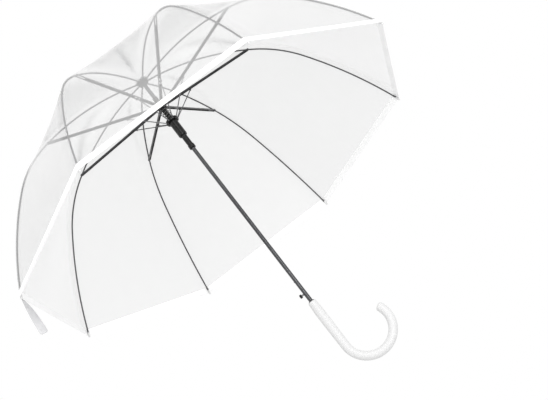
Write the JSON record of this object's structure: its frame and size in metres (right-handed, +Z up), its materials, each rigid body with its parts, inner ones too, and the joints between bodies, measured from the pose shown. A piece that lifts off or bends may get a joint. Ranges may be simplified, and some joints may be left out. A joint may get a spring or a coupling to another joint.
{
  "type": "stick umbrella",
  "caption": "Open stick umbrella: clear dome canopy on eight bent ribs, spring runner, steel shaft and hooked handle.",
  "frame": {"origin": "on the shaft's axis at the height of the hook's lowest point", "axes": "+Z up the shaft towards the ferrule, +X the way the hook opens"},
  "size_m": [0.8212, 0.8191, 0.82],
  "materials": {
    "shaft_steel": "satin",
    "rib_black": "satin",
    "wire_steel": "satin",
    "spring_steel": "satin",
    "black_plastic": "satin",
    "white_plastic": "gloss",
    "clear_plastic": "gloss",
    "clear_film": "gloss",
    "white_film": "satin"
  },
  "bodies": {
    "frame": {"shaft": "shaft_steel", "stop_pin": "wire_steel", "handle": "white_plastic", "handle_collar": "black_plastic", "crown_notch": "black_plastic", "crown_wire": "wire_steel", "crown_cap": "clear_plastic", "ferrule": "clear_plastic", "canopy": "clear_film", "hem_band": "white_film", "button_spring": "wire_steel"},
    "catch": {"catch_plate": "wire_steel", "release_button": "black_plastic"},
    "runner": {"runner": "black_plastic", "runner_wire": "wire_steel", "main_spring": "spring_steel"},
    "slider": {"slider": "black_plastic", "slider_wire": "wire_steel"},
    "strap": {"closing_strap": "white_film", "strap_snap": "white_plastic"},
    "rib_inner_1": {"rib_inner_1": "rib_black"},
    "rib_middle_1": {"rib_middle_1": "rib_black"},
    "rib_outer_1": {"rib_outer_1": "rib_black"},
    "stretcher_1": {"stretcher_1": "rib_black"},
    "strut_1": {"strut_1": "wire_steel"},
    "rib_inner_2": {"rib_inner_2": "rib_black"},
    "rib_middle_2": {"rib_middle_2": "rib_black"},
    "rib_outer_2": {"rib_outer_2": "rib_black"},
    "stretcher_2": {"stretcher_2": "rib_black"},
    "strut_2": {"strut_2": "wire_steel"},
    "rib_inner_3": {"rib_inner_3": "rib_black"},
    "rib_middle_3": {"rib_middle_3": "rib_black"},
    "rib_outer_3": {"rib_outer_3": "rib_black"},
    "stretcher_3": {"stretcher_3": "rib_black"},
    "strut_3": {"strut_3": "wire_steel"},
    "rib_inner_4": {"rib_inner_4": "rib_black"},
    "rib_middle_4": {"rib_middle_4": "rib_black"},
    "rib_outer_4": {"rib_outer_4": "rib_black"},
    "stretcher_4": {"stretcher_4": "rib_black"},
    "strut_4": {"strut_4": "wire_steel"},
    "rib_inner_5": {"rib_inner_5": "rib_black"},
    "rib_middle_5": {"rib_middle_5": "rib_black"},
    "rib_outer_5": {"rib_outer_5": "rib_black"},
    "stretcher_5": {"stretcher_5": "rib_black"},
    "strut_5": {"strut_5": "wire_steel"},
    "rib_inner_6": {"rib_inner_6": "rib_black"},
    "rib_middle_6": {"rib_middle_6": "rib_black"},
    "rib_outer_6": {"rib_outer_6": "rib_black"},
    "stretcher_6": {"stretcher_6": "rib_black"},
    "strut_6": {"strut_6": "wire_steel"},
    "rib_inner_7": {"rib_inner_7": "rib_black"},
    "rib_middle_7": {"rib_middle_7": "rib_black"},
    "rib_outer_7": {"rib_outer_7": "rib_black"},
    "stretcher_7": {"stretcher_7": "rib_black"},
    "strut_7": {"strut_7": "wire_steel"},
    "rib_inner_8": {"rib_inner_8": "rib_black"},
    "rib_middle_8": {"rib_middle_8": "rib_black"},
    "rib_outer_8": {"rib_outer_8": "rib_black"},
    "stretcher_8": {"stretcher_8": "rib_black"},
    "strut_8": {"strut_8": "wire_steel"}
  },
  "joints": [
    {"name": "canopy_fold", "type": "hinge", "parent": "frame", "child": "rib_inner_1", "pos_m": [0.00831, 0.00344, 0.749], "axis": [-0.3827, 0.9239, 0], "range_deg": [0, 80.07], "stiffness_Nm_per_rad": 2, "springref_deg": -68.75, "deforming": ["canopy", "hem_band"]},
    {"name": "rib_flex_1", "type": "hinge", "parent": "rib_inner_1", "child": "rib_middle_1", "pos_m": [0.22667, 0.09389, 0.71083], "axis": [-0.3827, 0.9239, 0], "range_deg": [-30.01, 0.01]},
    {"name": "tip_flex_1", "type": "hinge", "parent": "rib_middle_1", "child": "rib_outer_1", "pos_m": [0.30829, 0.1277, 0.64074], "axis": [-0.3827, 0.9239, 0], "range_deg": [-21.99, 0.01]},
    {"name": "stretcher_turn_1", "type": "hinge", "parent": "rib_inner_1", "child": "stretcher_1", "pos_m": [0.21988, 0.09108, 0.714], "axis": [-0.3827, 0.9239, 0], "range_deg": [-160.16, 0.01]},
    {"name": "strut_turn_1", "type": "hinge", "parent": "slider", "child": "strut_1", "pos_m": [0.01136, 0.00471, 0.637], "axis": [-0.3827, 0.9239, 0], "range_deg": [-51.14, 0.01]},
    {"name": "rib_fold_2", "type": "hinge", "parent": "frame", "child": "rib_inner_2", "pos_m": [0.00344, 0.00831, 0.749], "axis": [-0.9239, 0.3827, 0], "range_deg": [-0.01, 80.08]},
    {"name": "rib_flex_2", "type": "hinge", "parent": "rib_inner_2", "child": "rib_middle_2", "pos_m": [0.09389, 0.22667, 0.71083], "axis": [-0.9239, 0.3827, 0], "range_deg": [-30.01, 0.01]},
    {"name": "tip_flex_2", "type": "hinge", "parent": "rib_middle_2", "child": "rib_outer_2", "pos_m": [0.1277, 0.30829, 0.64074], "axis": [-0.9239, 0.3827, 0], "range_deg": [-21.99, 0.01]},
    {"name": "stretcher_turn_2", "type": "hinge", "parent": "rib_inner_2", "child": "stretcher_2", "pos_m": [0.09108, 0.21988, 0.714], "axis": [-0.9239, 0.3827, 0], "range_deg": [-160.16, 0.01]},
    {"name": "strut_turn_2", "type": "hinge", "parent": "slider", "child": "strut_2", "pos_m": [0.00471, 0.01136, 0.637], "axis": [-0.9239, 0.3827, 0], "range_deg": [-51.14, 0.01]},
    {"name": "rib_fold_3", "type": "hinge", "parent": "frame", "child": "rib_inner_3", "pos_m": [-0.00344, 0.00831, 0.749], "axis": [-0.9239, -0.3827, 0], "range_deg": [-0.01, 80.08]},
    {"name": "rib_flex_3", "type": "hinge", "parent": "rib_inner_3", "child": "rib_middle_3", "pos_m": [-0.09389, 0.22667, 0.71083], "axis": [-0.9239, -0.3827, 0], "range_deg": [-30.01, 0.01]},
    {"name": "tip_flex_3", "type": "hinge", "parent": "rib_middle_3", "child": "rib_outer_3", "pos_m": [-0.1277, 0.30829, 0.64074], "axis": [-0.9239, -0.3827, 0], "range_deg": [-21.99, 0.01]},
    {"name": "stretcher_turn_3", "type": "hinge", "parent": "rib_inner_3", "child": "stretcher_3", "pos_m": [-0.09108, 0.21988, 0.714], "axis": [-0.9239, -0.3827, 0], "range_deg": [-160.16, 0.01]},
    {"name": "strut_turn_3", "type": "hinge", "parent": "slider", "child": "strut_3", "pos_m": [-0.00471, 0.01136, 0.637], "axis": [-0.9239, -0.3827, 0], "range_deg": [-51.14, 0.01]},
    {"name": "rib_fold_4", "type": "hinge", "parent": "frame", "child": "rib_inner_4", "pos_m": [-0.00831, 0.00344, 0.749], "axis": [-0.3827, -0.9239, 0], "range_deg": [-0.01, 80.08]},
    {"name": "rib_flex_4", "type": "hinge", "parent": "rib_inner_4", "child": "rib_middle_4", "pos_m": [-0.22667, 0.09389, 0.71083], "axis": [-0.3827, -0.9239, 0], "range_deg": [-30.01, 0.01]},
    {"name": "tip_flex_4", "type": "hinge", "parent": "rib_middle_4", "child": "rib_outer_4", "pos_m": [-0.30829, 0.1277, 0.64074], "axis": [-0.3827, -0.9239, 0], "range_deg": [-21.99, 0.01]},
    {"name": "stretcher_turn_4", "type": "hinge", "parent": "rib_inner_4", "child": "stretcher_4", "pos_m": [-0.21988, 0.09108, 0.714], "axis": [-0.3827, -0.9239, 0], "range_deg": [-160.16, 0.01]},
    {"name": "strut_turn_4", "type": "hinge", "parent": "slider", "child": "strut_4", "pos_m": [-0.01136, 0.00471, 0.637], "axis": [-0.3827, -0.9239, 0], "range_deg": [-51.14, 0.01]},
    {"name": "rib_fold_5", "type": "hinge", "parent": "frame", "child": "rib_inner_5", "pos_m": [-0.00831, -0.00344, 0.749], "axis": [0.3827, -0.9239, 0], "range_deg": [-0.01, 80.08]},
    {"name": "rib_flex_5", "type": "hinge", "parent": "rib_inner_5", "child": "rib_middle_5", "pos_m": [-0.22667, -0.09389, 0.71083], "axis": [0.3827, -0.9239, 0], "range_deg": [-30.01, 0.01]},
    {"name": "tip_flex_5", "type": "hinge", "parent": "rib_middle_5", "child": "rib_outer_5", "pos_m": [-0.30829, -0.1277, 0.64074], "axis": [0.3827, -0.9239, 0], "range_deg": [-21.99, 0.01]},
    {"name": "stretcher_turn_5", "type": "hinge", "parent": "rib_inner_5", "child": "stretcher_5", "pos_m": [-0.21988, -0.09108, 0.714], "axis": [0.3827, -0.9239, 0], "range_deg": [-160.16, 0.01]},
    {"name": "strut_turn_5", "type": "hinge", "parent": "slider", "child": "strut_5", "pos_m": [-0.01136, -0.00471, 0.637], "axis": [0.3827, -0.9239, 0], "range_deg": [-51.14, 0.01]},
    {"name": "rib_fold_6", "type": "hinge", "parent": "frame", "child": "rib_inner_6", "pos_m": [-0.00344, -0.00831, 0.749], "axis": [0.9239, -0.3827, 0], "range_deg": [-0.01, 80.08]},
    {"name": "rib_flex_6", "type": "hinge", "parent": "rib_inner_6", "child": "rib_middle_6", "pos_m": [-0.09389, -0.22667, 0.71083], "axis": [0.9239, -0.3827, 0], "range_deg": [-30.01, 0.01]},
    {"name": "tip_flex_6", "type": "hinge", "parent": "rib_middle_6", "child": "rib_outer_6", "pos_m": [-0.1277, -0.30829, 0.64074], "axis": [0.9239, -0.3827, 0], "range_deg": [-21.99, 0.01]},
    {"name": "stretcher_turn_6", "type": "hinge", "parent": "rib_inner_6", "child": "stretcher_6", "pos_m": [-0.09108, -0.21988, 0.714], "axis": [0.9239, -0.3827, 0], "range_deg": [-160.16, 0.01]},
    {"name": "strut_turn_6", "type": "hinge", "parent": "slider", "child": "strut_6", "pos_m": [-0.00471, -0.01136, 0.637], "axis": [0.9239, -0.3827, 0], "range_deg": [-51.14, 0.01]},
    {"name": "rib_fold_7", "type": "hinge", "parent": "frame", "child": "rib_inner_7", "pos_m": [0.00344, -0.00831, 0.749], "axis": [0.9239, 0.3827, 0], "range_deg": [-0.01, 80.08]},
    {"name": "rib_flex_7", "type": "hinge", "parent": "rib_inner_7", "child": "rib_middle_7", "pos_m": [0.09389, -0.22667, 0.71083], "axis": [0.9239, 0.3827, 0], "range_deg": [-30.01, 0.01]},
    {"name": "tip_flex_7", "type": "hinge", "parent": "rib_middle_7", "child": "rib_outer_7", "pos_m": [0.1277, -0.30829, 0.64074], "axis": [0.9239, 0.3827, 0], "range_deg": [-21.99, 0.01]},
    {"name": "stretcher_turn_7", "type": "hinge", "parent": "rib_inner_7", "child": "stretcher_7", "pos_m": [0.09108, -0.21988, 0.714], "axis": [0.9239, 0.3827, 0], "range_deg": [-160.16, 0.01]},
    {"name": "strut_turn_7", "type": "hinge", "parent": "slider", "child": "strut_7", "pos_m": [0.00471, -0.01136, 0.637], "axis": [0.9239, 0.3827, 0], "range_deg": [-51.14, 0.01]},
    {"name": "rib_fold_8", "type": "hinge", "parent": "frame", "child": "rib_inner_8", "pos_m": [0.00831, -0.00344, 0.749], "axis": [0.3827, 0.9239, 0], "range_deg": [-0.01, 80.08]},
    {"name": "rib_flex_8", "type": "hinge", "parent": "rib_inner_8", "child": "rib_middle_8", "pos_m": [0.22667, -0.09389, 0.71083], "axis": [0.3827, 0.9239, 0], "range_deg": [-30.01, 0.01]},
    {"name": "tip_flex_8", "type": "hinge", "parent": "rib_middle_8", "child": "rib_outer_8", "pos_m": [0.30829, -0.1277, 0.64074], "axis": [0.3827, 0.9239, 0], "range_deg": [-21.99, 0.01]},
    {"name": "stretcher_turn_8", "type": "hinge", "parent": "rib_inner_8", "child": "stretcher_8", "pos_m": [0.21988, -0.09108, 0.714], "axis": [0.3827, 0.9239, 0], "range_deg": [-160.16, 0.01]},
    {"name": "strut_turn_8", "type": "hinge", "parent": "slider", "child": "strut_8", "pos_m": [0.01136, -0.00471, 0.637], "axis": [0.3827, 0.9239, 0], "range_deg": [-51.14, 0.01]},
    {"name": "runner_level", "type": "hinge", "parent": "stretcher_1", "child": "runner", "pos_m": [0.00831, 0.00344, 0.679], "axis": [-0.3827, 0.9239, 0], "range_deg": [-0.01, 80.08]},
    {"name": "slider_travel", "type": "slide", "parent": "runner", "child": "slider", "axis": [0, 0, 1], "range_m": [-0.00001, 0.02873], "deforming": ["main_spring"]},
    {"name": "strap_hang", "type": "hinge", "parent": "rib_outer_5", "child": "strap", "pos_m": [-0.40968, -0.1517, 0.45395], "axis": [0.3827, -0.9239, 0], "range_deg": [-28.11, 0.01]},
    {"name": "button_press", "type": "slide", "parent": "frame", "child": "catch", "axis": [1, 0, 0], "range_m": [0, 0.0022], "stiffness_N_per_m": 900, "springref_m": -0.002, "deforming": ["button_spring"]}
  ],
  "couplings": [
    {"joint": "rib_flex_1", "follows": "canopy_fold", "ratio": -0.37463},
    {"joint": "tip_flex_1", "follows": "canopy_fold", "ratio": -0.27444},
    {"joint": "stretcher_turn_1", "follows": "canopy_fold", "ratio": -2},
    {"joint": "strut_turn_1", "follows": "canopy_fold", "ratio": -0.6385},
    {"joint": "rib_fold_2", "follows": "canopy_fold", "ratio": 1},
    {"joint": "rib_flex_2", "follows": "canopy_fold", "ratio": -0.37463},
    {"joint": "tip_flex_2", "follows": "canopy_fold", "ratio": -0.27444},
    {"joint": "stretcher_turn_2", "follows": "canopy_fold", "ratio": -2},
    {"joint": "strut_turn_2", "follows": "canopy_fold", "ratio": -0.6385},
    {"joint": "rib_fold_3", "follows": "canopy_fold", "ratio": 1},
    {"joint": "rib_flex_3", "follows": "canopy_fold", "ratio": -0.37463},
    {"joint": "tip_flex_3", "follows": "canopy_fold", "ratio": -0.27444},
    {"joint": "stretcher_turn_3", "follows": "canopy_fold", "ratio": -2},
    {"joint": "strut_turn_3", "follows": "canopy_fold", "ratio": -0.6385},
    {"joint": "rib_fold_4", "follows": "canopy_fold", "ratio": 1},
    {"joint": "rib_flex_4", "follows": "canopy_fold", "ratio": -0.37463},
    {"joint": "tip_flex_4", "follows": "canopy_fold", "ratio": -0.27444},
    {"joint": "stretcher_turn_4", "follows": "canopy_fold", "ratio": -2},
    {"joint": "strut_turn_4", "follows": "canopy_fold", "ratio": -0.6385},
    {"joint": "rib_fold_5", "follows": "canopy_fold", "ratio": 1},
    {"joint": "rib_flex_5", "follows": "canopy_fold", "ratio": -0.37463},
    {"joint": "tip_flex_5", "follows": "canopy_fold", "ratio": -0.27444},
    {"joint": "stretcher_turn_5", "follows": "canopy_fold", "ratio": -2},
    {"joint": "strut_turn_5", "follows": "canopy_fold", "ratio": -0.6385},
    {"joint": "rib_fold_6", "follows": "canopy_fold", "ratio": 1},
    {"joint": "rib_flex_6", "follows": "canopy_fold", "ratio": -0.37463},
    {"joint": "tip_flex_6", "follows": "canopy_fold", "ratio": -0.27444},
    {"joint": "stretcher_turn_6", "follows": "canopy_fold", "ratio": -2},
    {"joint": "strut_turn_6", "follows": "canopy_fold", "ratio": -0.6385},
    {"joint": "rib_fold_7", "follows": "canopy_fold", "ratio": 1},
    {"joint": "rib_flex_7", "follows": "canopy_fold", "ratio": -0.37463},
    {"joint": "tip_flex_7", "follows": "canopy_fold", "ratio": -0.27444},
    {"joint": "stretcher_turn_7", "follows": "canopy_fold", "ratio": -2},
    {"joint": "strut_turn_7", "follows": "canopy_fold", "ratio": -0.6385},
    {"joint": "rib_fold_8", "follows": "canopy_fold", "ratio": 1},
    {"joint": "rib_flex_8", "follows": "canopy_fold", "ratio": -0.37463},
    {"joint": "tip_flex_8", "follows": "canopy_fold", "ratio": -0.27444},
    {"joint": "stretcher_turn_8", "follows": "canopy_fold", "ratio": -2},
    {"joint": "strut_turn_8", "follows": "canopy_fold", "ratio": -0.6385},
    {"joint": "runner_level", "follows": "canopy_fold", "ratio": 1},
    {"joint": "slider_travel", "follows": "canopy_fold", "m_per_rad": 0.020553},
    {"joint": "strap_hang", "follows": "canopy_fold", "ratio": -0.35093}
  ]
}
